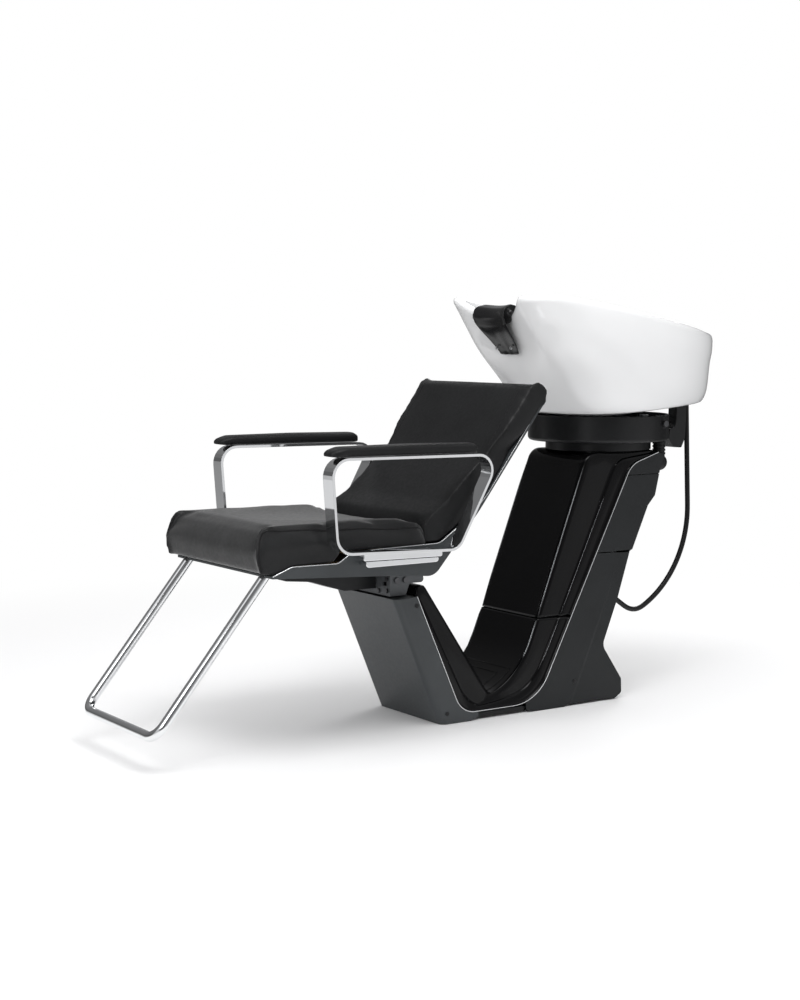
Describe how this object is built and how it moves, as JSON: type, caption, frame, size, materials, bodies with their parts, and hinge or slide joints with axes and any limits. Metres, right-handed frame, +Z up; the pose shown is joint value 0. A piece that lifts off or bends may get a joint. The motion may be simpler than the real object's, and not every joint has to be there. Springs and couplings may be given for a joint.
{
  "type": "shampoo backwash unit",
  "caption": "Reclined leather backwash chair with chrome loop arms and leg rest on a V-shaped pedestal with a tilting white ceramic wash basin and neck rest.",
  "frame": {"origin": "on the floor, on the centre line, under the front edge of the pedestal", "axes": "+X to the sitter's left, +Y towards the basin, +Z up; the leg rest points to -Y"},
  "size_m": [0.557, 1.624, 0.998],
  "materials": {
    "frame_steel": "powder coat",
    "black_plastic": "satin moulded",
    "grey_panel": "satin anthracite",
    "gloss_black": "polished",
    "bright_trim": "polished",
    "zinc": "zinc plated",
    "waste_plastic": "moulded",
    "hose_rubber": "smooth",
    "braided_steel": "braided",
    "bracket_grey": "satin",
    "beam_black": "powder coat",
    "rail_steel": "ground",
    "plywood": "birch ply",
    "leather": "fine grain, satin",
    "chrome": "polished",
    "ceramic": "white glaze",
    "neck_gel": "gloss",
    "nylon": "plain",
    "shower_black": "gloss"
  },
  "bodies": {
    "base": {"base_frame": "frame_steel", "levelling_feet": "black_plastic", "floor_pan": "black_plastic", "front_cover": "grey_panel", "side_panel_left": "grey_panel", "side_panel_right": "grey_panel", "upper_panel_left": "grey_panel", "upper_panel_right": "grey_panel", "head_panel_left": "grey_panel", "head_panel_right": "grey_panel", "rear_cover": "grey_panel", "inner_shell_lower": "gloss_black", "inner_shell_upper": "gloss_black", "trim_strip_left": "bright_trim", "trim_strip_right": "bright_trim", "panel_plugs": "black_plastic", "basin_collar": "black_plastic", "collar_bolts": "zinc", "drain_elbow": "black_plastic", "waste_pipe": "waste_plastic", "waste_hose": "hose_rubber", "supply_hoses": "braided_steel", "shower_hose": "hose_rubber", "seat_bracket": "bracket_grey", "bracket_bolts": "zinc", "seat_beam": "beam_black", "seat_rails": "rail_steel"},
    "chair": {"seat_carriage": "beam_black", "chair_shell": "grey_panel", "seat_board": "plywood", "seat_cushion": "leather", "back_cushion": "leather", "arm_left": "chrome", "arm_right": "chrome", "arm_pad_left": "black_plastic", "arm_pad_right": "black_plastic", "arm_bracket_left": "chrome", "arm_bracket_right": "chrome", "arm_screws": "zinc", "footrest": "chrome", "footrest_sockets": "frame_steel", "socket_screws": "zinc"},
    "basin_unit": {"basin": "ceramic", "neck_rest": "neck_gel", "neck_rest_studs": "chrome", "basin_cradle": "frame_steel", "cradle_bolts": "zinc", "pivot_bolts": "zinc", "friction_washers": "nylon", "hose_bracket": "black_plastic", "drain_strainer": "chrome", "mixer_body": "chrome", "shower_holder": "black_plastic"},
    "mixer_turret": {"mixer_cap": "chrome"},
    "mixer_handle": {"mixer_lever": "chrome"},
    "shower": {"hand_shower": "shower_black"}
  },
  "joints": [
    {"name": "seat_slide", "type": "slide", "parent": "base", "child": "chair", "axis": [0, 1, 0], "range_m": [-0.02, 0.06]},
    {"name": "basin_tilt", "type": "hinge", "parent": "base", "child": "basin_unit", "pos_m": [0, 0.652, 0.685], "axis": [-1, 0, 0], "range_deg": [0, 10], "deforming": ["shower_hose"]},
    {"name": "mixer_turn", "type": "hinge", "parent": "basin_unit", "child": "mixer_turret", "pos_m": [-0.07, 0.786, 0.88], "axis": [0, 0, 1], "range_deg": [-45, 45]},
    {"name": "mixer_lift", "type": "hinge", "parent": "mixer_turret", "child": "mixer_handle", "pos_m": [-0.07, 0.772, 0.88], "axis": [-1, 0, 0], "range_deg": [0, 20]},
    {"name": "shower_lift", "type": "slide", "parent": "basin_unit", "child": "shower", "axis": [0, 0, 1], "range_m": [0, 0.15]}
  ]
}
